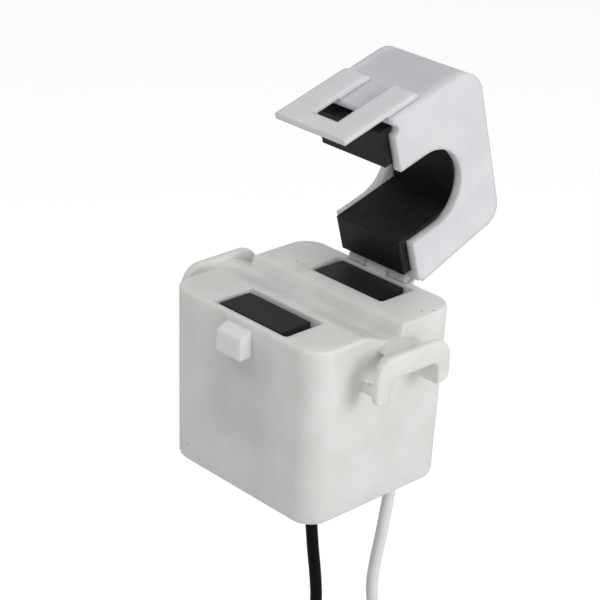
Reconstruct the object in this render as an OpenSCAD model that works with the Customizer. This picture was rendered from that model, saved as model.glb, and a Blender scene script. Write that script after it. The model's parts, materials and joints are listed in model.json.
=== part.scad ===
// Split-core current transformer for a lead of up to about 10 mm.
// The housing holds the wound half of a ferrite core. The cap carries the other
// half and swings on a pin at the rear edge, and its latch frame snaps over a lug
// on the housing's front. X runs along the measured conductor, -Y is the latch
// side, Z is up, and the origin is the conductor's seat: the middle of the
// saddle on the parting plane.

/* [Housing] */
// Width of the housing along the conductor
body_w = 29; // [28.5:0.5:34]
// Depth of the housing from latch to hinge
body_d = 26.1; // [26.1:0.1:27]
// Height of the housing below the parting plane
body_h = 25.9; // [25.5:0.1:32]
// Radius of the housing's upright corners
corner_r = 3.5; // [2:0.1:4]
// Radius of the housing's top edge
top_edge_r = 0.4; // [0.2:0.1:0.6]
// Radius of the housing's bottom edge
bottom_edge_r = 1.05; // [0.5:0.05:1.5]
// Draft of each side over the housing's height
draft = 0.33; // [0:0.01:0.4]
// Thickness of the housing's walls at the parting plane
wall = 1.5; // [1.2:0.1:1.6]
// Thickness of the plastic between the pole recesses and the coil chamber
deck = 1.0; // [0.6:0.1:1.4]

/* [Saddle and recesses] */
// Place of the conductor's window along the depth
window_y = 0.7; // [0:0.1:1]
// Depth of the saddle at its lowest line
saddle_depth = 1.7; // [1:0.1:2]
// Half width of the saddle at the parting plane
saddle_half = 5.6; // [5:0.1:5.7]
// Depth of the recesses round the poles
recess_depth = 2.4; // [1.6:0.1:2.8]
// Half width of the recesses
recess_half_w = 8.2; // [7.8:0.1:9]
// Margin of a recess inside the pole
recess_inner = 0.7; // [0.4:0.1:0.9]
// Margin of the front recess outside the pole
recess_front = 0.72; // [0.4:0.02:0.8]
// Margin of the rear recess outside the pole
recess_rear = 0.25; // [0.2:0.05:0.35]

/* [Core] */
// Width of both core halves along the conductor
core_w = 11.8; // [10:0.1:12]
// Distance between the inner faces of the legs
core_gap = 12.05; // [11.6:0.05:12.2]
// Thickness of each leg
leg_t = 5.35; // [5:0.05:5.4]
// Thickness of each yoke
yoke_t = 4.4; // [4:0.1:4.5]
// Length of the legs of the wound half
lower_leg = 11; // [10:0.1:11.5]
// Length of the legs of the floating half
upper_leg = 11.56; // [11.3:0.02:11.6]
// Radius of the cores' outer corners
core_corner_r = 3; // [2.8:0.1:3.5]
// Depth of the lower poles below the parting plane
pole_drop = 0.32; // [0.2:0.02:0.5]
// Gap left between the poles when the cap is shut
air_gap = 0.1; // [0.05:0.01:0.15]
// Travel of the floating half against its spring
core_travel = 0.89; // [0.5:0.01:0.92]

/* [Coil] */
// Wall of the bobbin's tube
bobbin_wall = 0.8; // [0.5:0.1:1]
// Thickness of the bobbin's flanges
flange_t = 0.7; // [0.5:0.1:1]
// Height of the flanges over the winding
flange_rim = 0.5; // [0.4:0.05:0.6]
// Thickness of the winding on the bobbin
coil_build = 5; // [4:0.1:5.2]
// Thickness of the tape over the winding
tape_t = 0.25; // [0.15:0.05:0.3]

/* [Bottom cover] */
// Thickness of the bottom cover
cover_t = 1.5; // [1.2:0.1:2]
// Depth of the cover's face inside the housing's rim
cover_inset = 0.3; // [0.1:0.1:0.5]
// Width of the ledge that the cover seats on
ledge = 0.4; // [0.3:0.05:0.5]

/* [Cap] */
// Half width of the cap along the conductor
cap_half_w = 7.3; // [7.2:0.1:7.6]
// Height of the cap's top over the parting plane
cap_top = 16.85; // [16.8:0.05:18]
// Depth of the cap's front face from the middle
cap_front = 13; // [12.8:0.05:13]
// Depth of the cap's rear face at the hinge
cap_rear = 13.2; // [13.1:0.05:13.3]
// Lean of the rear face over the cap's height
cap_rear_lean = 1.2; // [0.8:0.1:1.2]
// Radius of the cap's front shoulder
front_shoulder_r = 3; // [2:0.1:3.2]
// Radius of the cap's rear shoulder
rear_shoulder_r = 2.8; // [2:0.1:3]
// Thickness of the cap's front wall
cap_front_wall = 0.9; // [0.7:0.1:1.2]
// Thickness of the cap's side walls
cap_side_wall = 1.3; // [1:0.1:1.3]
// Thickness of the cap's top wall
cap_top_wall = 1.0; // [0.8:0.05:1]
// Clearance between the cap's walls and the parting plane when shut
cap_gap = 0.2; // [0.1:0.05:0.3]
// Radius of the window's arch in the cap's side walls
arch_r = 5.78; // [5.4:0.02:5.8]
// Height of the arch's centre over the parting plane
arch_z = 5.07; // [4.5:0.01:5.1]

/* [Latch] */
// Width of the lug on the housing
lug_w = 4.7; // [4:0.1:5]
// Reach of the lug in front of the housing
lug_out = 2.05; // [1.5:0.05:2.2]
// Depth of the lug's flat underside
lug_bottom = 4.7; // [4.2:0.1:5]
// Depth where the lug's ramp meets its front
lug_ramp_front = 1.68; // [1.4:0.02:2]
// Depth where the lug's ramp leaves the housing
lug_ramp_wall = 0.8; // [0.4:0.1:1]
// Clearance all round the lug in the latch window
latch_gap = 0.15; // [0.1:0.05:0.2]
// Half width of the latch frame
latch_half_w = 6.45; // [6:0.05:7]
// Height of the crossbar under the lug
crossbar_h = 2.8; // [2:0.1:3.2]
// Thickness of the latch frame
latch_t = 0.8; // [0.6:0.05:1]
// Clearance between the latch frame and the housing's front
latch_run = 0.2; // [0.15:0.05:0.3]
// Height of the ribs' upper ends over the parting plane
rib_top = 6.2; // [5:0.1:8]

/* [Hinge] */
// Distance of the hinge line behind the housing's rear face
hinge_out = 0.12; // [0.1:0.01:0.2]
// Height of the hinge line over the parting plane
hinge_z = 0.35; // [0.3:0.01:0.4]
// Radius of the hinge pin
pin_r = 0.5; // [0.4:0.05:0.6]
// Radial clearance of the pin in its bores
pin_gap = 0.05; // [0.03:0.01:0.08]
// Outer radius of the hinge knuckles
knuckle_r = 1.1; // [1:0.05:1.15]
// Half width of the housing's knuckle
inner_knuckle = 2; // [1.5:0.1:3]
// Width of each of the cap's knuckles
outer_knuckle = 3.2; // [2:0.1:3.4]
// Clearance round the knuckles
knuckle_gap = 0.2; // [0.15:0.01:0.2]
// Opening of the cap as the part is stored
open_angle = 73.5; // [60:0.5:98]

/* [Cable-tie ears] */
// Reach of each ear from the housing's side
ear_out = 4.5; // [3.5:0.1:6]
// Half width of the ears
ear_half = 6.5; // [6:0.1:8]
// Depth of the ears' tops below the parting plane
ear_top = 1; // [0.8:0.1:2]
// Depth of the ears' feet below the parting plane
ear_bottom = 7; // [6.7:0.1:9]
// Radius of the ears' shoulders and upright edges
ear_r = 2; // [1:0.1:2.2]
// Width of the ears' legs at the outer face
ear_leg = 2.3; // [2:0.1:2.6]
// Thickness of the ears' bridge over the arch
ear_bridge = 3; // [2.5:0.1:3.4]
// Width of the slot for a cable tie beside the wall
tie_slot_w = 1.1; // [1:0.1:1.6]
// Height of the slot for a cable tie
tie_slot_h = 4; // [3:0.1:4.4]

/* [Leads] */
// Outer diameter of the insulated leads
lead_d = 1.7; // [1.5:0.05:1.8]
// Clearance of the leads in the cover's holes
lead_gap = 0.1; // [0.05:0.05:0.2]
// Diameter of the bare strands at each lead's end
strand_d = 0.76; // [0.6:0.02:0.9]
// Length of the bare strands at each lead's end
strand_l = 6; // [4:0.5:10]
// Diameter of the coils at the middle of their turns
coil_mid_d = 19; // [17:0.5:20]
// Turns side by side in each coil, and layers on each other
coil_rows = 4; // [3:1:4]
// Thickness of the ties round the coils
tie_t = 0.5; // [0.4:0.1:0.8]
// Width of the ties round the coils
tie_w = 2.5; // [2:0.1:4]

/* [Hidden] */

eps = 0.01;
fit = 0.1;                                   // gap between pieces that slide or nest
core_run = 0.15;                             // gap of the cores in their slots
fine = 96;                                   // facets of a large round
small = 48;                                  // facets of a small round
blend = 64;                                  // facets of the housing's rounded edges

hinge_y = body_d / 2 + hinge_out;
leg_in = core_gap / 2;
leg_out = leg_in + leg_t;
saddle_r = (pow(saddle_half, 2) + pow(saddle_depth, 2)) / (2 * saddle_depth);
saddle_z = saddle_r - saddle_depth;
chamber_top = recess_depth + deck;
cover_top = body_h - cover_inset - cover_t;
yoke_z = pole_drop + lower_leg + yoke_t / 2; // depth of the wound yoke's middle
tube_x = core_w / 2 + core_run + bobbin_wall;
tube_z = yoke_t / 2 + core_run + bobbin_wall;
pole_shut = pole_drop - air_gap;             // upper poles' depth when the cap is shut
pole_rest = pole_shut + core_travel;         // upper poles' depth with the spring out
shoulder_y = cap_rear - cap_rear_lean;       // rear face's depth at its shoulder
cavity_r = 2.2;                              // inner radius of the cap's shoulders
cavity_rear = leg_out + 0.12;
window_low = lug_bottom + latch_gap;         // crossbar's upper edge
latch_tip = window_low + crossbar_h;
latch_in = body_d / 2 + latch_run;           // latch frame's inner face
latch_out = latch_in + latch_t;
rib_in = lug_w / 2 + latch_gap;
ring_side = coil_rows * lead_d;              // section of a coil's bundle of turns
ring_r = coil_mid_d / 2;

// Each lead drops from the cover, then turns aside to its own coil
black_route = [[5.2, -3.8, -22.6], [5.2, -3.8, -26], [5.3, -3.7, -29], [5.6, -3.6, -32],
    [6.1, -3.5, -36], [6.5, -3.2, -40], [6.8, -3.1, -44], [6.7, -3.4, -48],
    [6.0, -4.5, -52], [5.0, -6.0, -56], [4.3, -7.2, -60], [4, -7.5, -63.5]];
white_route = [[9.5, 7.5, -22.6], [9.5, 7.5, -26], [9.6, 7.4, -29], [9.9, 6.6, -32],
    [9.9, 5.9, -36], [9.5, 5.6, -40], [9.3, 5.5, -44], [9.6, 6.0, -48],
    [10.6, 7.7, -52], [11.9, 9.8, -56], [12.8, 11.2, -60], [13, 11.5, -63.5]];
// Middle of each coil, whose axis runs along X
black_ring = [4, 2, -72];
white_ring = [13, 2, -72];
tail_l = 12;                                 // straight tail under each coil

// Flat shape with round corners, in the XY plane round the origin
module rounded_rect(size, r) {
    square([size.x - 2 * r, size.y], center = true);
    square([size.x, size.y - 2 * r], center = true);
    for (x = [-1, 1], y = [-1, 1])
        translate([x * (size.x / 2 - r), y * (size.y / 2 - r)]) circle(r, $fn = small);
}

// Extrudes a flat shape drawn in Y and Z along X, as far each way from the middle
module along_x(width) {
    rotate([90, 0, 90]) linear_extrude(width, center = true) children();
}

// Extrudes a flat shape drawn in X and Z along Y, as far each way from the middle
module along_y(width) {
    rotate([90, 0, 0]) linear_extrude(width, center = true) children();
}

// Turns what is drawn with the cap shut to the cap's stored opening
module opened() {
    translate([0, hinge_y, hinge_z]) rotate([-open_angle, 0, 0])
        translate([0, -hinge_y, -hinge_z]) children();
}

// Housing: drafted block with rounded edges, open below
module housing_block() {
    hull() for (x = [-1, 1], y = [-1, 1]) {
        translate([x * (body_w / 2 - corner_r), y * (body_d / 2 - corner_r), -top_edge_r])
            rotate_extrude($fn = blend) translate([corner_r - top_edge_r, 0])
                circle(top_edge_r, $fn = 16);
        translate([x * (body_w / 2 - draft - corner_r), y * (body_d / 2 - draft - corner_r),
                bottom_edge_r - body_h])
            rotate_extrude($fn = blend) translate([corner_r - bottom_edge_r, 0])
                circle(bottom_edge_r, $fn = 24);
    }
}

// Recesses round the poles, and the slots through their floors for the legs
module pole_recesses() {
    front_y = leg_out + recess_front;
    rear_y = leg_out + recess_rear;
    inner_y = leg_in - recess_inner;
    translate([0, -(front_y + inner_y) / 2, -recess_depth])
        linear_extrude(recess_depth + 1)
            rounded_rect([2 * recess_half_w, front_y - inner_y], 0.5);
    translate([0, (rear_y + inner_y) / 2, -recess_depth])
        linear_extrude(recess_depth + 1)
            rounded_rect([2 * recess_half_w, rear_y - inner_y], 0.5);
    for (y = [-1, 1])
        translate([0, y * (leg_in + leg_out) / 2, -chamber_top - 1])
            linear_extrude(chamber_top)
                square([core_w + 2 * core_run, leg_t + 2 * core_run], center = true);
}

// Coil chamber, and the wider seat for the bottom cover
module chamber() {
    inner = [body_w - 2 * wall, body_d - 2 * wall];
    translate([0, 0, -body_h - 1]) linear_extrude(body_h + 1 - chamber_top)
        rounded_rect(inner, 2);
    translate([0, 0, -body_h - 1]) linear_extrude(body_h + 1 - cover_top)
        rounded_rect(inner + [2 * ledge, 2 * ledge], 2 + ledge);
}

// Ear for a cable tie: a bridge on two legs, with a slot beside the wall
module ear() {
    outer = body_w / 2 + ear_out;
    tall = 2 * (ear_bottom - ear_top);
    difference() {
        intersection() {
            translate([0, 0, -ear_top - tall / 2]) along_x(2 * outer)
                rounded_rect([2 * ear_half, tall], ear_r);
            translate([0, 0, -ear_bottom]) linear_extrude(ear_bottom)
                rounded_rect([2 * outer, 2 * ear_half], ear_r);
            translate([body_w / 2 - wall, -ear_half, -ear_bottom])
                cube([wall + ear_out, 2 * ear_half, ear_bottom]);
        }
        translate([0, 0, -ear_top - ear_bridge - tall / 2]) along_x(2 * outer + 1)
            rounded_rect([2 * (ear_half - ear_leg), tall], ear_r);
        translate([body_w / 2, -ear_half - 1, -ear_bottom + 1])
            cube([tie_slot_w, 2 * ear_half + 2, tie_slot_h]);
    }
}

// Lug on the front, ramped above and flat below
module lug() {
    front = body_d / 2;
    along_x(lug_w) polygon([[wall - front, -lug_ramp_wall], [-front, -lug_ramp_wall],
        [-front - lug_out, -lug_ramp_front], [-front - lug_out, -lug_bottom],
        [wall - front, -lug_bottom]]);
}

// The housing's knuckle, with a web down its rear face
module housing_knuckle() {
    translate([0, hinge_y, hinge_z]) rotate([0, 90, 0])
        cylinder(r = knuckle_r, h = 2 * inner_knuckle, center = true, $fn = small);
    along_x(2 * inner_knuckle) polygon([[hinge_y - knuckle_r, hinge_z],
        [hinge_y + knuckle_r, hinge_z], [body_d / 2 - draft, -2 * knuckle_r],
        [hinge_y - knuckle_r, -knuckle_r]]);
}

module housing() {
    color([0.86, 0.86, 0.83]) difference() {
        union() {
            difference() {
                housing_block();
                pole_recesses();
                chamber();
                translate([0, window_y, saddle_z]) rotate([0, 90, 0])
                    cylinder(r = saddle_r, h = 2 * body_w, center = true, $fn = fine);
                for (x = [-1, 1])
                    translate([x * (inner_knuckle + knuckle_gap / 2 + outer_knuckle / 2 + knuckle_gap / 2),
                            hinge_y, hinge_z]) rotate([0, 90, 0])
                        cylinder(r = knuckle_r + knuckle_gap, h = outer_knuckle + 2 * knuckle_gap,
                            center = true, $fn = small);
            }
            ear();
            mirror([1, 0, 0]) ear();
            lug();
            housing_knuckle();
        }
        translate([0, hinge_y, hinge_z]) rotate([0, 90, 0])
            cylinder(r = pin_r + pin_gap, h = 4 * inner_knuckle, center = true, $fn = small);
    }
}

// Cover that closes the housing below, with a hole for each lead
module bottom_cover() {
    seat = [body_w - 2 * wall, body_d - 2 * wall] + 2 * (ledge - fit) * [1, 1];
    color([0.8, 0.8, 0.77]) difference() {
        translate([0, 0, -cover_top - cover_t]) linear_extrude(cover_t)
            rounded_rect(seat, 2 + ledge - fit);
        for (route = [black_route, white_route])
            translate([route[0].x, route[0].y, -body_h]) cylinder(d = lead_d + 2 * lead_gap,
                h = 2 * cover_t + cover_inset, $fn = small);
    }
}

// Ferrite U, its poles at z = 0 and its yoke below, with round outer corners
module ferrite_u(leg) {
    tall = leg + yoke_t;
    along_x(core_w) difference() {
        union() {
            translate([0, -tall + 2 * core_corner_r])
                rounded_rect([2 * leg_out, 4 * core_corner_r], core_corner_r);
            translate([-leg_out, -tall + 2 * core_corner_r])
                square([2 * leg_out, tall - 2 * core_corner_r]);
        }
        translate([-leg_in, -leg]) square([2 * leg_in, 2 * tall]);
    }
}

module lower_core() {
    color([0.16, 0.16, 0.17]) translate([0, 0, -pole_drop]) ferrite_u(lower_leg);
}

// The floating half stands out of the cap by its travel when the cap is open
module upper_core() {
    color([0.16, 0.16, 0.17]) opened()
        translate([0, 0, -pole_rest]) mirror([0, 0, 1]) ferrite_u(upper_leg);
}

// Bobbin on the wound yoke: a square tube between two flanges
module bobbin() {
    long = core_gap - 2 * fit;
    flange = [tube_x, tube_z] + (coil_build + flange_rim) * [1, 1];
    color([0.93, 0.92, 0.86]) translate([0, 0, -yoke_z]) difference() {
        union() {
            along_y(long) rounded_rect(2 * [tube_x, tube_z], 0.5);
            for (y = [-1, 1]) translate([0, y * (long - flange_t) / 2, 0])
                along_y(flange_t) rounded_rect(2 * flange, 2);
        }
        along_y(long + 1) square(2 * [tube_x - bobbin_wall, tube_z - bobbin_wall], center = true);
    }
}

// Layer wound round the bobbin, from one distance off its tube to another
module layer(inner, outer) {
    long = core_gap - 2 * fit - 2 * flange_t - 0.1;
    translate([0, 0, -yoke_z]) along_y(long) difference() {
        rounded_rect(2 * ([tube_x, tube_z] + outer * [1, 1]), outer / 2 + 0.5);
        rounded_rect(2 * ([tube_x, tube_z] + inner * [1, 1]), inner / 2 + 0.5);
    }
}

module winding() {
    color([0.72, 0.42, 0.2]) layer(0.02, coil_build);
}

module winding_tape() {
    color([0.75, 0.66, 0.35]) layer(coil_build + 0.02, coil_build + tape_t);
}

// Steel pin through the knuckles
module hinge_pin() {
    color([0.7, 0.71, 0.73]) translate([0, hinge_y, hinge_z]) rotate([0, 90, 0])
        cylinder(r = pin_r, h = 2 * (inner_knuckle + knuckle_gap + outer_knuckle - 0.2),
            center = true, $fn = small);
}

// Outline of the cap from the side, in Y and Z
module cap_outline() {
    rear_lean = cap_rear_lean * (rear_shoulder_r) / cap_top;
    translate([front_shoulder_r - cap_front, cap_top - front_shoulder_r])
        circle(front_shoulder_r, $fn = fine);
    translate([shoulder_y - rear_lean - rear_shoulder_r, cap_top - rear_shoulder_r])
        circle(rear_shoulder_r, $fn = fine);
    polygon([[-cap_front, cap_gap], [-cap_front, cap_top - front_shoulder_r],
        [front_shoulder_r - cap_front, cap_top],
        [shoulder_y - rear_lean - rear_shoulder_r, cap_top],
        [shoulder_y - rear_lean, cap_top - rear_shoulder_r],
        [cap_rear, cap_gap]]);
}

// Space inside the cap for the floating half, in Y and Z
module cap_cavity() {
    front = cap_front - cap_front_wall;
    wide = front + cavity_rear;
    high = cap_top - cap_top_wall;
    translate([(cavity_rear - front) / 2, 0]) {
        translate([0, high / 2]) rounded_rect([wide, high], cavity_r);
        translate([-wide / 2, -1]) square([wide, high / 2]);
    }
}

// The conductor's window in the side walls: round above, straight below
module window_outline() {
    translate([window_y, arch_z]) circle(arch_r, $fn = fine);
    translate([window_y - arch_r, -1]) square([2 * arch_r, arch_z + 1]);
}

module cap() {
    color([0.84, 0.86, 0.9]) opened() difference() {
        union() {
            difference() {
                along_x(2 * cap_half_w) cap_outline();
                along_x(2 * (cap_half_w - cap_side_wall)) cap_cavity();
                along_x(4 * cap_half_w) window_outline();
                translate([0, -cap_front + cap_front_wall + 0.7, cap_gap]) rotate([0, 90, 0])
                    cylinder(r = 0.8, h = 4 * cap_half_w, center = true, $fn = small);
                translate([0, hinge_y, hinge_z]) rotate([0, 90, 0])
                    cylinder(r = knuckle_r + knuckle_gap, h = 2 * (inner_knuckle + knuckle_gap / 2),
                        center = true, $fn = small);
            }
            for (x = [-1, 1])
                translate([x * (inner_knuckle + knuckle_gap + outer_knuckle / 2), hinge_y, hinge_z])
                    rotate([0, 90, 0])
                        cylinder(r = knuckle_r, h = outer_knuckle, center = true, $fn = small);
        }
        translate([0, hinge_y, hinge_z]) rotate([0, 90, 0])
            cylinder(r = pin_r + pin_gap, h = 4 * cap_half_w, center = true, $fn = small);
    }
}

// Latch frame: two ribs down the cap's front, joined below the lug by a crossbar
module latch_frame() {
    rib_w = latch_half_w - rib_in;
    round_r = latch_out - cap_front;
    color([0.84, 0.86, 0.9]) opened() {
        for (x = [-1, 1]) translate([x * (rib_in + rib_w / 2), 0, 0]) along_x(rib_w) {
            polygon([[-cap_front, cap_gap], [-cap_front, rib_top], [-latch_out, rib_top - round_r],
                [-latch_out, -latch_tip], [-latch_in, -latch_tip], [-latch_in, cap_gap]]);
            intersection() {
                translate([-cap_front, rib_top - round_r]) circle(round_r, $fn = small);
                translate([-cap_front - round_r, rib_top - round_r]) square(round_r);
            }
        }
        along_x(2 * rib_in) translate([-latch_out, -latch_tip]) square([latch_t, crossbar_h]);
    }
}

// Bowed leaf spring between the floating yoke and the cap's top
module core_spring() {
    half = 5;
    leaf_t = 0.2;
    low = upper_leg + yoke_t - pole_rest;
    rise = cap_top - cap_top_wall - low - 0.04;
    bow_r = (pow(half, 2) + pow(rise, 2)) / (2 * rise);
    color([0.7, 0.71, 0.73]) opened() along_x(8) intersection() {
        translate([0, low + 0.02 + rise - bow_r]) difference() {
            circle(bow_r, $fn = 200);
            circle(bow_r - leaf_t, $fn = 200);
        }
        translate([-half, low + 0.02]) square([2 * half, rise + 1]);
    }
}

// Round tube swept along a route, one ring of eight corners at each point
function unit(v) = v / norm(v);
function heading(route, i) =
    unit(route[min(i + 1, len(route) - 1)] - route[max(i - 1, 0)]);
function ring_at(route, i) =
    let (t = heading(route, i), a = unit(cross(t, [1, 0, 0])), b = cross(t, a))
    [for (k = [0:7]) route[i] + lead_d / 2 * (cos(45 * k) * a + sin(45 * k) * b)];

module lead(route) {
    last = len(route) - 1;
    polyhedron(
        points = [for (i = [0:last]) each ring_at(route, i)],
        faces = concat([[for (k = [7:-1:0]) k]], [[for (k = [0:7]) 8 * last + k]],
            [for (i = [0:last - 1], k = [0:7])
                [8 * i + k, 8 * i + (k + 1) % 8, 8 * i + 8 + (k + 1) % 8, 8 * i + 8 + k]]));
}

// Outer shape of a coil of lead round the X axis
module coil(middle) {
    translate(middle) rotate([0, 90, 0]) rotate_extrude($fn = fine)
        translate([ring_r, 0]) square(ring_side, center = true);
}

// Band round a coil's bundle of turns, on the side away from the lead
module tie(middle, side) {
    inner = ring_side + 0.3;
    translate(middle + [0, side * ring_r, -tie_w / 2]) linear_extrude(tie_w) difference() {
        square(inner + 2 * tie_t, center = true);
        square(inner, center = true);
    }
}

// Straight end that hangs from a coil's outer layer, insulated and then bare
module hanging_end(middle, side, d, from, long) {
    out = ring_r + ring_side / 2 - lead_d / 2;
    drop = sqrt(pow(ring_r + ring_side / 2, 2) - pow(out, 2));
    translate(middle + [0, side * out, -drop - from - long])
        cylinder(d = d, h = long, $fn = small);
}

module black_lead() { color([0.1, 0.1, 0.1]) lead(black_route); }
module white_lead() { color([0.93, 0.93, 0.9]) lead(white_route); }
module black_coil() { color([0.1, 0.1, 0.1]) coil(black_ring); }
module white_coil() { color([0.93, 0.93, 0.9]) coil(white_ring); }
module black_tie() { color([0.9, 0.9, 0.88]) tie(black_ring, 1); }
module white_tie() { color([0.9, 0.9, 0.88]) tie(white_ring, -1); }
module black_tail() { color([0.1, 0.1, 0.1]) hanging_end(black_ring, -1, lead_d, 0, tail_l); }
module white_tail() { color([0.93, 0.93, 0.9]) hanging_end(white_ring, 1, lead_d, 0, tail_l); }
module black_strands() {
    color([0.8, 0.6, 0.4]) hanging_end(black_ring, -1, strand_d, tail_l, strand_l);
}
module white_strands() {
    color([0.8, 0.6, 0.4]) hanging_end(white_ring, 1, strand_d, tail_l, strand_l);
}

housing();
bottom_cover();
lower_core();
bobbin();
winding();
winding_tape();
hinge_pin();
cap();
latch_frame();
upper_core();
core_spring();
black_lead();
white_lead();
black_coil();
white_coil();
black_tie();
white_tie();
black_tail();
white_tail();
black_strands();
white_strands();
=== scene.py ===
import json
import math

import bmesh
import bpy
from mathutils import Matrix, Vector


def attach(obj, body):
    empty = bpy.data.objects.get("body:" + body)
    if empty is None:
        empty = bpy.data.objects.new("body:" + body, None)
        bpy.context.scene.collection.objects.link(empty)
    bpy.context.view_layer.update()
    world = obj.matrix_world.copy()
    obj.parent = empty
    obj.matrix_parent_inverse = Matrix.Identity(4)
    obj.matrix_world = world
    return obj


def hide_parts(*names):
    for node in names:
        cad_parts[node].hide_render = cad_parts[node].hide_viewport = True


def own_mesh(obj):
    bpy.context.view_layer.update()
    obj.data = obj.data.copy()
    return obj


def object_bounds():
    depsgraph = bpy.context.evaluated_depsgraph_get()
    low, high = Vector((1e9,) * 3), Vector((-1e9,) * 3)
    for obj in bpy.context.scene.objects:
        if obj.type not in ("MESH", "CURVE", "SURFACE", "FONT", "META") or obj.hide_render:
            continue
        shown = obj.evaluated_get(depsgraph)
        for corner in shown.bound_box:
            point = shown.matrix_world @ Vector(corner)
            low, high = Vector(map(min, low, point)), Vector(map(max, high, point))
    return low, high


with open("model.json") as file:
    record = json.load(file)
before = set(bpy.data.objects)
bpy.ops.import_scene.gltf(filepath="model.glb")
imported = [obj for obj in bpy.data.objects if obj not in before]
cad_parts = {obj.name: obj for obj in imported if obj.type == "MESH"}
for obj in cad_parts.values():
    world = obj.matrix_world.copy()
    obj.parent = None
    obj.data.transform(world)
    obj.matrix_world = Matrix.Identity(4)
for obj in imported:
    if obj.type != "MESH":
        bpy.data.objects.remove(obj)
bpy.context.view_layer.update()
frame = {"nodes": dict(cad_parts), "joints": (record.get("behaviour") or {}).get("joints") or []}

# ---- Ferrite halves ----
# Each half of the core is a U of sintered manganese-zinc ferrite: charcoal, finely
# grained and slightly rough, with its two pole faces ground flat so that they meet.

MM = 0.001
node = frame["nodes"]
joints = {joint["name"]: joint for joint in frame["joints"]}


class Value:
    """A socket's value, so that shader maths reads as plain Python."""

    def __init__(self, nodes, socket):
        self.nodes = nodes
        self.socket = socket

    def maths(self, operation, *values):
        settings = {"operation": operation}
        return self.nodes.add("ShaderNodeMath", settings, dict(enumerate(values)))

    def __add__(self, other):
        return self.maths("ADD", self, other)

    __radd__ = __add__

    def __mul__(self, other):
        return self.maths("MULTIPLY", self, other)

    __rmul__ = __mul__

    def __sub__(self, other):
        return self.maths("SUBTRACT", self, other)

    def __rsub__(self, other):
        return self.maths("SUBTRACT", other, self)

    def between(self, low, high):
        """Runs smoothly from 0 at low to 1 at high."""
        return self.nodes.add(
            "ShaderNodeMapRange",
            {"interpolation_type": "SMOOTHSTEP"},
            {"Value": self, "From Min": low, "From Max": high},
        )


class Nodes:
    """A node tree, and the one way in which nodes are added to it."""

    def __init__(self, tree):
        self.tree = tree

    def add(self, kind, settings=None, sockets=None, output=0):
        made = self.tree.nodes.new(kind)
        for name, value in (settings or {}).items():
            setattr(made, name, value)
        for name, value in (sockets or {}).items():
            self.give(made.inputs[name], value)
        return Value(self, made.outputs[output])

    def give(self, socket, value):
        if isinstance(value, Value):
            self.tree.links.new(value.socket, socket)
        else:
            socket.default_value = value


class Finish(Nodes):
    """A material of one Principled shader, and the nodes that vary it."""

    def __init__(self, name, **fixed):
        self.material = bpy.data.materials.new(name)
        self.material.use_nodes = True
        super().__init__(self.material.node_tree)
        self.shader = self.tree.nodes["Principled BSDF"]
        for socket, value in fixed.items():
            self.shader.inputs[socket.replace("_", " ")].default_value = value

    def mix(self, share, a, b):
        """Two colours, which a Mix node takes on sockets 6 and 7 and gives on output 2."""
        return self.add("ShaderNodeMix", {"data_type": "RGBA"}, {0: share, 6: a, 7: b}, 2)

    def point(self):
        """The point on the object, in metres."""
        return self.add("ShaderNodeTexCoord", output="Object")

    def parts(self, vector):
        """A vector's X, Y and Z."""
        split = self.add("ShaderNodeSeparateXYZ", sockets={0: vector}).socket.node
        return [Value(self, split.outputs[i]) for i in range(3)]

    def facing(self):
        """X, Y and Z of the way the surface faces on the part at rest."""
        return self.parts(self.add("ShaderNodeTexCoord", output="Normal"))

    def noise(self, point, scale, detail=2.0):
        sockets = {"Vector": point, "Scale": scale, "Detail": detail}
        return self.add("ShaderNodeTexNoise", sockets=sockets)

    def bump(self, height, depth, under=None):
        sockets = {"Height": height, "Distance": depth, "Strength": 1.0}
        if under:
            sockets["Normal"] = under
        return self.add("ShaderNodeBump", sockets=sockets)

    def soft_edges(self, radius):
        return self.add("ShaderNodeBevel", {"samples": 6}, {"Radius": radius})

    def surface(self, **changing):
        """Feeds the shader what changes over the surface, and returns the material."""
        for socket, value in changing.items():
            self.give(self.shader.inputs[socket.replace("_", " ")], value)
        return self.material


def paint(name, material):
    """Gives a node's own mesh its material."""
    mesh = node[name].data
    mesh.materials.clear()
    mesh.materials.append(material)


def ferrite(name, pole_way):
    """Charcoal ceramic, smoother and scratched where it faces the way of its poles."""
    finish = Finish(name, Specular_IOR_Level=0.25)
    point = finish.point()
    fx, fy, fz = finish.facing()
    towards_pole = fx * pole_way.x + fy * pole_way.y + fz * pole_way.z
    ground = towards_pole.between(0.97, 0.995)
    grain = finish.noise(point, 3500, 3)
    cloud = finish.noise(point, 400, 3)
    stretched = finish.add("ShaderNodeMapping",
                           sockets={"Vector": point, "Scale": (0.06, 1, 1)})
    scratches = finish.noise(stretched, 9000, 2)
    body = finish.mix(cloud.between(0.3, 0.7), (0.008, 0.0095, 0.0092, 1),
                      (0.017, 0.0195, 0.019, 1))
    speckled = finish.mix(grain.between(0.55, 0.8) * 0.5, body, (0.05, 0.05, 0.053, 1))
    colour = finish.mix(ground * 0.6, speckled, (0.014, 0.0165, 0.016, 1))
    roughness = 0.62 + grain * 0.12 - ground * 0.28 + ground * scratches * 0.12
    edges = finish.soft_edges(0.15 * MM)
    height = grain * (1 - ground) + scratches * ground * 0.25
    normal = finish.bump(height, 0.02 * MM, edges)
    return finish.surface(Base_Color=colour, Roughness=roughness, Normal=normal)


# The cap and its half turn through the hinge's whole range from shut to open.
hinge = joints["cap_hinge"]
open_turn = Matrix.Rotation(math.radians(hinge["range_deg"][0]), 3, "X")

paint("lower_core", ferrite("lower_ferrite", Vector((0, 0, 1))))
paint("upper_core", ferrite("upper_ferrite", open_turn @ Vector((0, 0, -1))))

# ---- Bobbin, winding and tape ----
# The bobbin is a square tube of natural nylon on the yoke. Fine enamelled copper
# wire fills it in level layers, under a few turns of yellow polyester tape.


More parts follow.
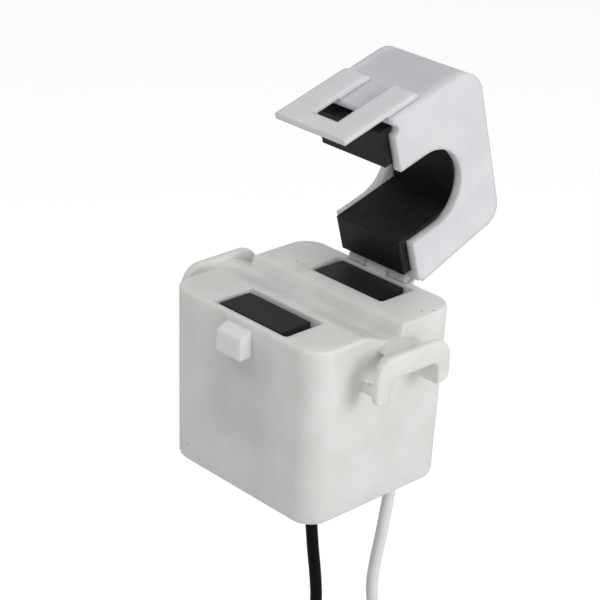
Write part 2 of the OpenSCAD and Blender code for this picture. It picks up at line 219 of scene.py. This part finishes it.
def bobbin_nylon():
    finish = Finish("bobbin_nylon", Roughness=0.5)
    point = finish.point()
    cloud = finish.noise(point, 300)
    colour = finish.mix(cloud, (0.78, 0.75, 0.64, 1), (0.84, 0.81, 0.71, 1))
    normal = finish.bump(finish.noise(point, 5000), 0.01 * MM, finish.soft_edges(0.12 * MM))
    return finish.surface(Base_Color=colour, Normal=normal)


def copper_winding():
    finish = Finish("copper_winding", Metallic=0.85, Coat_Weight=0.6)
    point = finish.point()
    turns = finish.add("ShaderNodeTexWave", {"bands_direction": "Y"},
                       {"Vector": point, "Scale": 500, "Distortion": 0.4})
    colour = finish.mix(turns, (0.28, 0.09, 0.03, 1), (0.72, 0.29, 0.1, 1))
    normal = finish.bump(turns, 0.04 * MM)
    return finish.surface(Base_Color=colour, Roughness=0.3 + turns * 0.1, Normal=normal)


def polyester_tape():
    finish = Finish("polyester_tape", Coat_Weight=0.3)
    point = finish.point()
    laps = finish.add("ShaderNodeTexWave", {"bands_direction": "Y", "wave_profile": "SAW"},
                      {"Vector": point, "Scale": 12, "Distortion": 0.2})
    wrinkle = finish.noise(point, 700, 4)
    colour = finish.mix(wrinkle, (0.62, 0.43, 0.06, 1), (0.72, 0.53, 0.1, 1))
    normal = finish.bump(laps + wrinkle * 0.5, 0.06 * MM)
    return finish.surface(Base_Color=colour, Roughness=0.28 + wrinkle * 0.15, Normal=normal)


paint("bobbin", bobbin_nylon())
paint("winding", copper_winding())
paint("winding_tape", polyester_tape())

# ---- Housing and bottom cover ----
# Both are moulded in natural, slightly translucent nylon with a satin skin, so the core
# behind the front wall shows faintly. The housing's two ears take a cable tie each,
# and the cover closes it from below.


def moulded_nylon(name, low, high, marks_and_painted_light=None, edge=0.3):
    """Cloudy nylon between two shades, with any marks, painted shade and painted light it is given,
    a few specks and soft edges.
    """
    finish = Finish(name, IOR=1.5, Specular_IOR_Level=0.35, Subsurface_Weight=0.6,
                    Subsurface_Radius=(1, 0.97, 0.92), Subsurface_Scale=1.6 * MM)
    point = finish.point()
    cloud = finish.noise(point, 160, 3)
    colour = finish.mix(cloud.between(0.3, 0.7), low, high)
    for share, tint in marks_and_painted_light(finish, point) if marks_and_painted_light else ():
        colour = finish.mix(share, colour, tint)
    cells = finish.add("ShaderNodeTexVoronoi", sockets={"Vector": point, "Scale": 330.0})
    chosen = finish.noise(point, 260).between(0.66, 0.7)
    speck = (1 - cells.between(0.05, 0.1)) * chosen
    colour = finish.mix(speck * 0.6, colour, (0.2, 0.18, 0.15, 1))
    skin = finish.noise(point, 2600, 3)
    wave = finish.noise(point, 220, 1)
    normal = finish.bump(skin * 0.25 + wave * 1.6, 0.05 * MM, finish.soft_edges(edge * MM))
    roughness = 0.42 + skin * 0.1 + wave * 0.06
    return finish.surface(Base_Color=colour, Roughness=roughness, Normal=normal)


def near(x, y, at, radius):
    """1 at a place on the top face, and 0 beyond the radius, both in millimetres."""
    dx, dy = x - at[0] * MM, y - at[1] * MM
    return 1 - (dx * dx + dy * dy).between(0, (radius * MM) ** 2)


def housing_marks_and_painted_light(finish, point):
    """The core's front leg showing through the front wall, the coil's tape showing warm
    through the channel's floor, a rub mark and dark specks on the top, painted shade in
    the channel's left end, beside the rear pole and in the right tie slot, and painted light on the
    lug.
    """
    x, y, z = finish.parts(point)
    fy, fz = finish.facing()[1:]
    patches = finish.noise(point, 300, 4).between(0.35, 0.7)
    streaks = finish.noise(point, 1300, 3).between(0.5, 0.66)
    across = x.between(-8 * MM, -3 * MM) * (1 - x.between(4 * MM, 8 * MM))
    # Painted light: the lug in front of the front face is painted nearly white.
    lug_painted_light = 1 - y.between(-13.4 * MM, -13.05 * MM)
    down = z.between(-21 * MM, -15 * MM) * (1 - z.between(-3 * MM, -1.5 * MM))
    front = 1 - y.between(-13.2 * MM, -12.4 * MM)
    leg = across * down * front * (1 - fy.between(-0.9, -0.6))
    upward = fz.between(0.3, 0.8) * z.between(-3 * MM, -2 * MM)
    channel = upward * y.between(-5 * MM, -3.8 * MM) * (1 - y.between(1.2 * MM, 2.6 * MM))
    warm = (channel * x.between(-3 * MM, 9 * MM) * (1 - x.between(12.5 * MM, 14.5 * MM))
            * (patches * 0.6 + 0.4))
    # Painted shade: blue-grey in the channel's left end.
    shade = channel * (1 - x.between(-8 * MM, 4 * MM)) * x.between(-13 * MM, -9 * MM)
    # Painted shade: olive on the top beside the rear pole's recess.
    shade_beside_pole = near(x, y, (-6.6, 5), 2.6) * upward
    smudge = near(x, y, (-8.9, -8.7), 1.7) * streaks
    # Painted shade: olive at the front of the right tie slot.
    slot = (x.between(14.4 * MM, 14.6 * MM) * (1 - x.between(15.6 * MM, 16.2 * MM))
            * (1 - y.between(-4 * MM, -2.5 * MM)) * z.between(-8 * MM, -6 * MM))
    marks = [
        (leg * 0.3, (0.42, 0.44, 0.48, 1)),
        (lug_painted_light * 0.7, (0.96, 0.96, 0.95, 1)),
        (warm * 0.42, (0.56, 0.5, 0.34, 1)),
        (shade * 0.35, (0.53, 0.53, 0.58, 1)),
        (shade_beside_pole * patches * 0.4, (0.5, 0.5, 0.32, 1)),
        (smudge * 0.4, (0.36, 0.36, 0.34, 1)),
        (slot * 0.4, (0.6, 0.58, 0.4, 1)),
    ]
    for speck in ((-9.1, 5.65), (13.05, 7.54), (13.9, 8.9), (12.9, -3.6)):
        marks.append((near(x, y, speck, 0.22) * 0.75, (0.12, 0.1, 0.08, 1)))
    return marks


# Sizes and places in millimetres: X to the side, Y to the rear, Z up from the top face.
SIDE, FRONT_FACE = 14.5, 13.05
CHANNEL_FRONT, CHANNEL_LOW, CHANNEL_LIP, CHANNEL_REAR = -4.9, 1.3, 1.8, 2.55
CHANNEL_DEPTH = 1.7
RECESS_LEFT, RECESS_RIGHT, RECESS_DEPTH, RECESS_EDGE = -6.6, 7.7, 2.4, 0.5
RECESSES = ((-12.1, -5.32), (5.32, 11.63))
EAR_OUT, EAR_PLATE, EAR_HALF, EAR_LEG, EAR_EDGE = 19.4, 1.2, 6.8, 2.3, 0.35
EAR_TOP, EAR_FOOT, EAR_ARCH = -1.0, -7.4, -4.0
EAR_TOP_R, EAR_FOOT_R, EAR_ARCH_R = 3, 1.2, 1.2
BARREL_R, BARREL_Y = 5.9, 1.1
TIE_SLOT_WIDE, TIE_SLOT_LOW, TIE_SLOT_HIGH = 1.1, -6.0, -2.6

# The box that takes away each of the solid's own ears, and the fills that close the
# solid's round saddle and the ends of its recesses.
EAR_BOX_HALF, EAR_BOX_LOW, EAR_BOX_HIGH, EAR_BOX_OUT = 8, -9, -0.5, 25
SADDLE_FILL_REAR = 6.4
RECESS_FILLS = ((-8.6, -6), (7.2, 8.6))
FILL_LOW, FILL_HIGH, FILL_LAP = -2.6, 0.5, 0.2
PAST = 1                # how far a cutter goes past what it cuts
ABOVE = 3               # how far it goes above the top face
INSIDE = 3              # how far inside the side wall the arch's cutter starts
WELD = 0.0005 * MM
SHARP_FROM = math.radians(28)   # edges that turn further than this stay sharp


def solid_body(name, shape):
    bmesh.ops.recalc_face_normals(shape, faces=shape.faces)
    mesh = bpy.data.meshes.new(name)
    shape.to_mesh(mesh)
    shape.free()
    body = bpy.data.objects.new(name, mesh)
    bpy.context.scene.collection.objects.link(body)
    return body


def copied(name, source):
    """A body of a node's shape, its doubled points joined."""
    shape = bmesh.new()
    shape.from_mesh(node[source].data)
    bmesh.ops.remove_doubles(shape, verts=shape.verts, dist=WELD)
    return solid_body(name, shape)


def prism(outline, x0, x1, round_by=0.0):
    """A closed body of a YZ outline between two places along X, in millimetres."""
    shape = bmesh.new()
    ends = [[shape.verts.new(Vector((x, y, z)) * MM) for y, z in outline] for x in (x0, x1)]
    for end in ends:
        shape.faces.new(end)
    for i in range(len(outline)):
        shape.faces.new((ends[0][i - 1], ends[0][i], ends[1][i], ends[1][i - 1]))
    bmesh.ops.recalc_face_normals(shape, faces=shape.faces)
    if round_by:
        sharp = [edge for edge in shape.edges if edge.calc_face_angle(0) > 0.9]
        bmesh.ops.bevel(shape, geom=sharp, offset=round_by * MM, segments=4, profile=0.5,
                        affect="EDGES", clamp_overlap=True)
    return solid_body("prism", shape)


def box_outline(y0, y1, z0, z1):
    return [(y0, z0), (y1, z0), (y1, z1), (y0, z1)]


def arc(y, z, radius, start, end, steps=10):
    """Points of an arc, its angles in degrees from +Y towards +Z."""
    angles = (math.radians(start + (end - start) * k / steps) for k in range(steps + 1))
    return [(y + radius * math.cos(a), z + radius * math.sin(a)) for a in angles]


def channel_slope(y0, y1, way, steps):
    """Points of a smooth slope down to the channel's floor (way 1) or up from it (-1)."""
    return [(y0 + (y1 - y0) * k / steps,
             -CHANNEL_DEPTH * (1 - way * math.cos(math.pi * k / steps)) / 2)
            for k in range(steps + 1)]


def combine(body, operation, other):
    """Adds, cuts or keeps what the other body covers, and uses the other up."""
    step = body.modifiers.new("combine", "BOOLEAN")
    step.operation = operation
    step.solver = "MANIFOLD"
    step.object = other
    bpy.context.view_layer.update()
    made = bpy.data.meshes.new_from_object(
        body.evaluated_get(bpy.context.evaluated_depsgraph_get()))
    body.modifiers.clear()
    body.data = made
    bpy.data.objects.remove(other)
    return body


def plain_block():
    """The housing's outer block, without ears, lug, knuckle and openings."""
    slack, wall, lug_half = 0.01, 0.5, 8
    shape = bmesh.new()
    for vert in node["housing"].data.vertices:
        x, y, z = vert.co / MM
        on_block = abs(x) < SIDE + slack and abs(y) < FRONT_FACE + slack and z < slack
        by_ear = abs(y) < EAR_BOX_HALF and abs(x) > SIDE - wall
        by_lug_or_hinge = abs(x) < lug_half and abs(y) > FRONT_FACE - wall
        if on_block and not by_ear and not by_lug_or_hinge:
            shape.verts.new(vert.co)
    bmesh.ops.remove_doubles(shape, verts=shape.verts, dist=WELD)
    made = bmesh.ops.convex_hull(shape, input=shape.verts)
    inside = {v for v in made["geom_interior"] if isinstance(v, bmesh.types.BMVert)}
    bmesh.ops.delete(shape, geom=list(inside), context="VERTS")
    return solid_body("block", shape)


def tie_ear(side):
    """A barrel that the cable tie lies over, an upright plate, and an arch under both."""
    shoulder, foot = EAR_HALF - EAR_TOP_R, EAR_HALF - EAR_FOOT_R
    plate = (arc(shoulder, EAR_TOP - EAR_TOP_R, EAR_TOP_R, 0, 90)
             + arc(-shoulder, EAR_TOP - EAR_TOP_R, EAR_TOP_R, 90, 180)
             + arc(-foot, EAR_FOOT + EAR_FOOT_R, EAR_FOOT_R, 180, 270)
             + arc(foot, EAR_FOOT + EAR_FOOT_R, EAR_FOOT_R, 270, 360))
    ear = prism(plate, side * (EAR_OUT - EAR_PLATE), side * EAR_OUT, EAR_EDGE)
    middle = -CHANNEL_DEPTH - BARREL_R
    barrel = [p for p in arc(BARREL_Y, middle, BARREL_R, 0, 180, 40) if p[1] > EAR_FOOT]
    barrel = [(barrel[0][0], EAR_FOOT)] + barrel + [(barrel[-1][0], EAR_FOOT)]
    combine(ear, "UNION",
            prism(barrel, side * (SIDE - PAST), side * (EAR_OUT - EAR_PLATE / 2)))
    half = EAR_HALF - EAR_LEG
    corner = half - EAR_ARCH_R
    arch = ([(half, EAR_BOX_LOW)] + arc(corner, EAR_ARCH - EAR_ARCH_R, EAR_ARCH_R, 0, 90)
            + arc(-corner, EAR_ARCH - EAR_ARCH_R, EAR_ARCH_R, 90, 180) + [(-half, EAR_BOX_LOW)])
    combine(ear, "DIFFERENCE", prism(arch, side * (SIDE - INSIDE), side * (EAR_OUT + PAST)))
    long = EAR_BOX_HALF + PAST
    slot = box_outline(-long, long, TIE_SLOT_LOW, TIE_SLOT_HIGH)
    return combine(ear, "DIFFERENCE", prism(slot, side * SIDE, side * (SIDE + TIE_SLOT_WIDE)))


def finished(moulding, name):
    """Shades a moulding smooth between its sharp edges, and puts it in its node's place."""
    for layer in ("custom_normal", "sharp_edge", "sharp_face"):
        if layer in moulding.data.attributes:
            moulding.data.attributes.remove(moulding.data.attributes[layer])
    moulding.data.shade_smooth()
    moulding.data.set_sharp_from_angle(angle=SHARP_FROM)
    moulding.data.materials.clear()
    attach(moulding, name)
    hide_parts(name)
    return moulding


def final_housing():
    """The housing with its barrel ears, its lopsided channel and its narrower recesses."""
    housing = copied("housing_moulding", "housing")
    for side in (-1, 1):
        old_ear = prism(box_outline(-EAR_BOX_HALF, EAR_BOX_HALF, EAR_BOX_LOW, EAR_BOX_HIGH),
                        side * (SIDE - PAST), side * EAR_BOX_OUT)
        combine(old_ear, "DIFFERENCE", plain_block())
        combine(housing, "DIFFERENCE", old_ear)
    fills = [(CHANNEL_FRONT - FILL_LAP / 2, SADDLE_FILL_REAR, -SIDE - PAST, SIDE + PAST)]
    fills += [(front - FILL_LAP, rear + FILL_LAP, *ends)
              for front, rear in RECESSES for ends in RECESS_FILLS]
    for y0, y1, x0, x1 in fills:
        fill = prism(box_outline(y0, y1, FILL_LOW, FILL_HIGH), x0, x1)
        combine(fill, "INTERSECT", plain_block())
        combine(housing, "UNION", fill)
    for front, rear in RECESSES:
        recess = box_outline(front, rear, -RECESS_DEPTH, ABOVE)
        combine(housing, "DIFFERENCE", prism(recess, RECESS_LEFT, RECESS_RIGHT, RECESS_EDGE))
    channel = (channel_slope(CHANNEL_FRONT, CHANNEL_LOW, 1, 16)
               + channel_slope(CHANNEL_LIP, CHANNEL_REAR, -1, 8)
               + [(CHANNEL_REAR, ABOVE), (CHANNEL_FRONT, ABOVE)])
    combine(housing, "DIFFERENCE", prism(channel, -SIDE - PAST, SIDE + PAST))
    for side in (-1, 1):
        combine(housing, "UNION", tie_ear(side))
    return finished(housing, "housing")


housing_nylon = moulded_nylon("housing_nylon", (0.79, 0.79, 0.765, 1), (0.86, 0.86, 0.84, 1),
                              housing_marks_and_painted_light)
final_housing().data.materials.append(housing_nylon)
paint("bottom_cover",
      moulded_nylon("cover_nylon", (0.66, 0.66, 0.62, 1), (0.72, 0.72, 0.68, 1)))

# ---- Cap and latch frame ----
# The hinged cap is moulded in a cooler nylon than the housing, over the floating half of
# the core. The latch frame on its front is thin enough to spring over the housing's lug.

# Millimetres, as the cap stands when shut.
CAP_FRONT, CAP_TOP, SHOULDER_R = -13.0, 16.85, 4.2
SHOULDER_HALF = 9       # half the width of the shoulder's cutter
HINGE = Vector(hinge["pos_m"])
cap_low, cap_high = (0.77, 0.78, 0.805, 1), (0.83, 0.84, 0.86, 1)


def opened(point):
    """Where a place on the shut cap lies on the open one."""
    return HINGE + open_turn @ (point - HINGE)


def cap_stains(finish, point):
    """The floating half shows blue-grey through the cap's front and top walls."""
    x = finish.parts(point)[0]
    behind = x.between(-6.9 * MM, -5.2 * MM) * (1 - x.between(5.2 * MM, 6.9 * MM))
    return [(behind * 0.38, (0.5, 0.525, 0.57, 1))]


def final_cap():
    """The cap, with its front shoulder rounded to its full radius."""
    cap = copied("cap_moulding", "cap")
    y, z = CAP_FRONT + SHOULDER_R, CAP_TOP - SHOULDER_R
    corner = arc(y, z, SHOULDER_R, 90, 180, 24)
    corner += [(CAP_FRONT - PAST, z), (CAP_FRONT - PAST, CAP_TOP + PAST), (y, CAP_TOP + PAST)]
    cutter = prism(corner, -SHOULDER_HALF, SHOULDER_HALF)
    for vert in cutter.data.vertices:
        vert.co = opened(vert.co)
    combine(cap, "DIFFERENCE", cutter)
    return finished(cap, "cap")


final_cap().data.materials.append(
    moulded_nylon("cap_nylon", cap_low, cap_high, cap_stains, edge=0.7))
paint("latch_frame", moulded_nylon("frame_nylon", cap_low, cap_high, edge=0.45))

# ---- Pin and spring ----
# The hinge pin is drawn steel wire pressed through the knuckles. The leaf that pushes
# the floating half out is blue-grey spring steel, held between it and the cap's top.


def drawn_steel(name, low, high):
    finish = Finish(name, Metallic=1.0)
    point = finish.point()
    drawn = finish.add("ShaderNodeMapping", sockets={"Vector": point, "Scale": (0.05, 1, 1)})
    lines = finish.noise(drawn, 8000, 2)
    colour = finish.mix(lines, low, high)
    normal = finish.bump(lines, 0.005 * MM)
    return finish.surface(Base_Color=colour, Roughness=0.24 + lines * 0.14, Normal=normal)


paint("hinge_pin", drawn_steel("pin_steel", (0.5, 0.5, 0.5, 1), (0.64, 0.64, 0.64, 1)))

# The leaf gives way by the core's travel and a little clearance.
LEAF_GIVES = joints["core_slide"]["range_m"][1] + 0.05 * MM


def leaf_spring(steel):
    """The bowed leaf, carried by the cap in its rest shape."""
    leaf = bpy.data.objects.new("leaf_spring", node["core_spring"].data.copy())
    bpy.context.scene.collection.objects.link(leaf)
    leaf.data.materials.clear()
    leaf.data.materials.append(steel)
    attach(leaf, "cap")
    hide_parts("core_spring")
    up_in_cap = open_turn @ Vector((0, 0, 1))
    heights = [up_in_cap.dot(vert.co) for vert in leaf.data.vertices]
    bow = max(heights) - min(heights)
    1 - LEAF_GIVES / bow
    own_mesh(leaf)


leaf_spring(drawn_steel("spring_steel", (0.36, 0.38, 0.42, 1), (0.5, 0.52, 0.55, 1)))

# ---- Leads ----
# Two leads of stranded hook-up wire in soft PVC, one black and one white, each a metre
# long. They drop through the cover, are wound in neat coils of sixteen turns and end bare.

LEAD_D = 1.7 * MM
LEAD_EXIT_Z = -25.6     # height at which both leave the cover, in millimetres
RING_R = 9.5 * MM       # middle of the coil's layers
LAYERS = 4
SIDE_TURNS = LAYERS * 2
COIL_STEPS = 24
COIL_OUT = RING_R + (LAYERS - 1) / 2 * LEAD_D
# When the lead steps to the next column, out or back, and to the next layer: in turns
# from the coil's middle.
COLUMN_STEPS = ((0.9, 1.2, 1), (2.85, 3.15, -1), (4.85, 5.15, 1), (7.1, 7.4, -1))
LAYER_STEPS = ((1.85, 2.15), (3.85, 4.15), (5.85, 6.15))

black_route = [
    (5.2, -3.8, -22.6), (5.2, -3.8, -26), (5.3, -3.7, -29), (5.6, -3.6, -32),
    (6.1, -3.5, -36), (6.5, -3.2, -40), (6.8, -3.1, -44), (6.7, -3.4, -48),
    (6.0, -4.5, -52), (5.0, -6.0, -56), (4.3, -7.2, -60), (4, -7.5, -63.5),
]
white_route = [
    (9.5, 7.5, -22.6), (9.5, 7.5, -26), (9.6, 7.4, -29), (9.9, 6.6, -32),
    (9.9, 5.9, -36), (9.5, 5.6, -40), (9.3, 5.5, -44), (9.6, 6.0, -48),
    (10.6, 7.7, -52), (11.9, 9.8, -56), (12.8, 11.2, -60), (13, 11.5, -63.5),
]
black_ring = Vector((4, 2, -72)) * MM
white_ring = Vector((13, 2, -72)) * MM
TAIL = 12 * MM
TAIL_STEPS = 8
BARE = 6 * MM
STRAND_R, STRAND_LAY = 0.127 * MM, 7 * MM
STRAND_HIDDEN = 0.3 * MM    # how far the strands reach up into the insulation


def smooth_run(points, steps):
    """A curve through the points, with that many steps between each two."""
    run = []
    for i in range(len(points) - 1):
        before = points[max(i - 1, 0)]
        a, b = points[i], points[i + 1]
        after = points[min(i + 2, len(points) - 1)]
        for k in range(steps):
            t = k / steps
            run.append(0.5 * (2 * a + (b - before) * t + (2 * before - 5 * a + 4 * b - after) * t**2
                              + (3 * a - before - 3 * b + after) * t**3))
    return run + [points[-1]]


def eased(value, start, end):
    """Runs smoothly from 0 to 1 as the value goes from start to end."""
    share = min(max((value - start) / (end - start), 0), 1)
    return share * share * (3 - 2 * share)


def wound(middle, side):
    """Two pancakes side by side: eight turns wind inwards, and eight out again.

    Each has two columns and four layers, so both of the lead's ends leave outside.
    """
    run = []
    for k in range(-SIDE_TURNS * COIL_STEPS, SIDE_TURNS * COIL_STEPS + 1):
        turn = abs(k) / COIL_STEPS
        column = eased(k / COIL_STEPS, -0.2, 0.2) * 2 - 1
        column += math.copysign(2, k) * sum(
            way * eased(turn, start, end) for start, end, way in COLUMN_STEPS)
        layer = sum(eased(turn, start, end) for start, end in LAYER_STEPS)
        radius = RING_R + (layer - (LAYERS - 1) / 2) * LEAD_D
        angle = 2 * math.pi * k / COIL_STEPS
        run.append(middle + Vector((column * LEAD_D / 2, side * radius * math.cos(angle),
                                    -radius * math.sin(angle))))
    return run


def lead(name, route, middle, side, material):
    """One lead from the cover through its coil to its tail, and the point it ends at."""
    coil = wound(middle, side)
    joining = [Vector((coil[0].x, middle.y + side * COIL_OUT * math.cos(angle),
                       middle.z + COIL_OUT * math.sin(angle))) for angle in (0.5, 0.25)]
    start = smooth_run([Vector(p) * MM for p in route] + joining + coil[:1], 3)
    low = middle.z - math.sqrt((COIL_OUT + LEAD_D / 2) ** 2 - COIL_OUT**2) - TAIL
    tail = []
    for k in range(1, TAIL_STEPS + 1):
        drift = eased(k, 0, TAIL_STEPS - 2)
        tail.append(Vector((coil[-1].x + (middle.x - coil[-1].x) * drift, coil[-1].y,
                            middle.z + (low - middle.z) * k / TAIL_STEPS)))
    points = start[:-1] + coil + tail
    curve = bpy.data.curves.new(name, "CURVE")
    curve.dimensions = "3D"
    curve.bevel_depth = LEAD_D / 2
    curve.bevel_resolution = 5
    curve.use_fill_caps = True
    spline = curve.splines.new("POLY")
    spline.points.add(len(points) - 1)
    for at, p in zip(spline.points, points):
        at.co = (*p, 1)
    spline.use_smooth = True
    curve.materials.append(material)
    piece = bpy.data.objects.new(name, curve)
    bpy.context.scene.collection.objects.link(piece)
    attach(piece, "housing")
    return piece, points[-1]


def pvc(name, low, high):
    finish = Finish(name, Specular_IOR_Level=0.08)
    point = finish.point()
    cloud = finish.noise(point, 300, 2)
    skin = finish.noise(point, 4000, 2)
    colour = finish.mix(cloud, low, high)
    normal = finish.bump(skin + cloud, 0.015 * MM)
    return finish.surface(Base_Color=colour, Roughness=0.36 + skin * 0.12, Normal=normal)


def tinned_strands(name, end, material):
    """Seven tinned wires twisted together, bare for the last stretch of a lead."""
    shape = bmesh.new()
    rings, sides = 28, 10
    for strand in range(7):
        off = 0 if strand == 6 else 2 * STRAND_R
        before = None
        for k in range(rings):
            z = end.z + STRAND_HIDDEN - (BARE + STRAND_HIDDEN) * k / (rings - 1)
            turn = math.pi / 3 * strand + 2 * math.pi * (end.z - z) / STRAND_LAY
            centre = Vector((end.x + off * math.cos(turn), end.y + off * math.sin(turn), z))
            ring = [shape.verts.new(centre + STRAND_R * Vector((math.cos(a), math.sin(a), 0)))
                    for a in (2 * math.pi * s / sides for s in range(sides))]
            if before:
                for s in range(sides):
                    t = (s + 1) % sides
                    shape.faces.new((before[s], ring[s], ring[t], before[t]))
            else:
                shape.faces.new(ring)
            before = ring
        shape.faces.new(before[::-1])
    bmesh.ops.recalc_face_normals(shape, faces=shape.faces)
    mesh = bpy.data.meshes.new(name)
    shape.to_mesh(mesh)
    shape.free()
    mesh.shade_smooth()
    mesh.materials.append(material)
    piece = bpy.data.objects.new(name, mesh)
    bpy.context.scene.collection.objects.link(piece)
    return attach(piece, "housing")


def tinned_copper():
    finish = Finish("tinned_copper", Metallic=1.0)
    point = finish.point()
    cloud = finish.noise(point, 1500, 3)
    colour = finish.mix(cloud, (0.62, 0.6, 0.56, 1), (0.75, 0.74, 0.72, 1))
    normal = finish.bump(cloud, 0.008 * MM)
    return finish.surface(Base_Color=colour, Roughness=0.26 + cloud * 0.14, Normal=normal)


tin = tinned_copper()
for shade, route, middle, side, low, high in (
    ("black", black_route, black_ring, -1, (0.003, 0.003, 0.003, 1), (0.006, 0.006, 0.006, 1)),
    ("white", white_route, white_ring, 1, (0.82, 0.82, 0.81, 1), (0.88, 0.88, 0.87, 1)),
):
    wire, end = lead(f"{shade}_wire", route, middle, side, pvc(f"{shade}_pvc", low, high))
    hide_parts(f"{shade}_lead", f"{shade}_coil", f"{shade}_tail")
    strands = tinned_strands(f"{shade}_bare_strands", end, tin)
    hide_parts(f"{shade}_strands")
    [c * MM for c in (*route[0][:2], LEAD_EXIT_Z)]

# ---- Ties ----
# A plain band of natural nylon, finely toothed on the outside, is pulled tight round
# each coil of spare lead and holds its turns together.


def tie_nylon():
    finish = Finish("tie_nylon", Roughness=0.45)
    point = finish.point()
    teeth = finish.add("ShaderNodeTexWave", {"bands_direction": "Z"},
                       {"Vector": point, "Scale": 300.0})
    colour = finish.mix(finish.noise(point, 500), (0.72, 0.71, 0.66, 1), (0.8, 0.79, 0.75, 1))
    normal = finish.bump(teeth, 0.01 * MM, finish.soft_edges(0.12 * MM))
    return finish.surface(Base_Color=colour, Normal=normal)


tie = tie_nylon()
paint("black_tie", tie)
paint("white_tie", tie)

# ---- Floor, light and camera ----
# A pale floor lies under the lowest strand, with soft light from the right and above.
# What the camera sees past the part is white, and the floor keeps its shadow.

FLOOR_REACH = 3         # metres, each way from the middle
floor_shape = bmesh.new()
bmesh.ops.create_grid(floor_shape, x_segments=1, y_segments=1, size=FLOOR_REACH)
floor_mesh = bpy.data.meshes.new("floor")
floor_shape.to_mesh(floor_mesh)
floor_shape.free()
floor = bpy.data.objects.new("floor", floor_mesh)
floor.location.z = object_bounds()[0].z
bpy.context.scene.collection.objects.link(floor)

floor_paint = Finish("floor_paint", Base_Color=(0.8, 0.8, 0.8, 1), Roughness=0.9,
                     Specular_IOR_Level=0.0)
matt = Value(floor_paint, floor_paint.shader.outputs[0])
lift = floor_paint.add("ShaderNodeEmission", sockets={"Color": (1, 1, 1, 1), "Strength": 0.5})
lifted = floor_paint.add("ShaderNodeAddShader", sockets={0: matt, 1: lift})
seen = floor_paint.add("ShaderNodeLightPath", output="Is Camera Ray")
shown = floor_paint.add("ShaderNodeMixShader", sockets={0: seen, 1: matt, 2: lifted})
floor_paint.give(floor_paint.tree.nodes["Material Output"].inputs["Surface"], shown)
floor_mesh.materials.append(floor_paint.material)

# The sky is full white to the camera and through clear pieces. Reflections see the
# same dimmer sky that lights the part.
SKY_LIGHT, SKY_SHOWN = 0.42, 1.0
world = bpy.data.worlds.new("studio")
bpy.context.scene.world = world
world.use_nodes = True
sky = Nodes(world.node_tree)
seen = sky.add("ShaderNodeLightPath", output="Is Camera Ray")
through = sky.add("ShaderNodeLightPath", output="Is Transmission Ray")
strength = sky.add("ShaderNodeMapRange", sockets={
    "Value": seen.maths("MAXIMUM", seen, through), "To Min": SKY_LIGHT, "To Max": SKY_SHOWN})
glow = sky.tree.nodes["Background"]
sky.give(glow.inputs["Color"], (1, 1, 1, 1))
sky.give(glow.inputs["Strength"], strength)


def softbox(name, place, size, power):
    """A square lamp that looks at the middle of the part."""
    lamp = bpy.data.lights.new(name, "AREA")
    lamp.shape = "SQUARE"
    lamp.size = size
    lamp.energy = power
    box = bpy.data.objects.new(name, lamp)
    box.location = place
    box.rotation_euler = (-Vector(place)).to_track_quat("-Z", "Y").to_euler()
    bpy.context.scene.collection.objects.link(box)


softbox("right_light", (0.9, 0.1, 0.35), 0.5, 4.0)
softbox("top_light", (-0.1, -0.5, 0.9), 0.6, 2.0)

# The camera looks at TARGET from in front, to the right and above, and is rolled a little.
TARGET = Vector((-2.391, 0, -1.893)) * MM
AZIMUTH = math.radians(45.52)
ELEVATION = math.radians(24.824)
ROLL = math.radians(2.71)
DISTANCE = 274.3 * MM
back = Vector((math.sin(AZIMUTH) * math.cos(ELEVATION), -math.cos(AZIMUTH) * math.cos(ELEVATION),
               math.sin(ELEVATION)))
right = Vector((0, 0, 1)).cross(back).normalized()
up = back.cross(right)
right, up = (math.cos(ROLL) * right + math.sin(ROLL) * up,
             math.cos(ROLL) * up - math.sin(ROLL) * right)
lens = bpy.data.cameras.new("camera")
lens.sensor_width = 36
lens.lens = 121.6
lens.clip_start = 0.02
camera = bpy.data.objects.new("camera", lens)
turn = Matrix((right, up, back)).transposed().to_4x4()
camera.matrix_world = Matrix.Translation(TARGET + DISTANCE * back) @ turn
bpy.context.scene.collection.objects.link(camera)
bpy.context.scene.camera = camera
bpy.context.scene.view_settings.view_transform = "Standard"
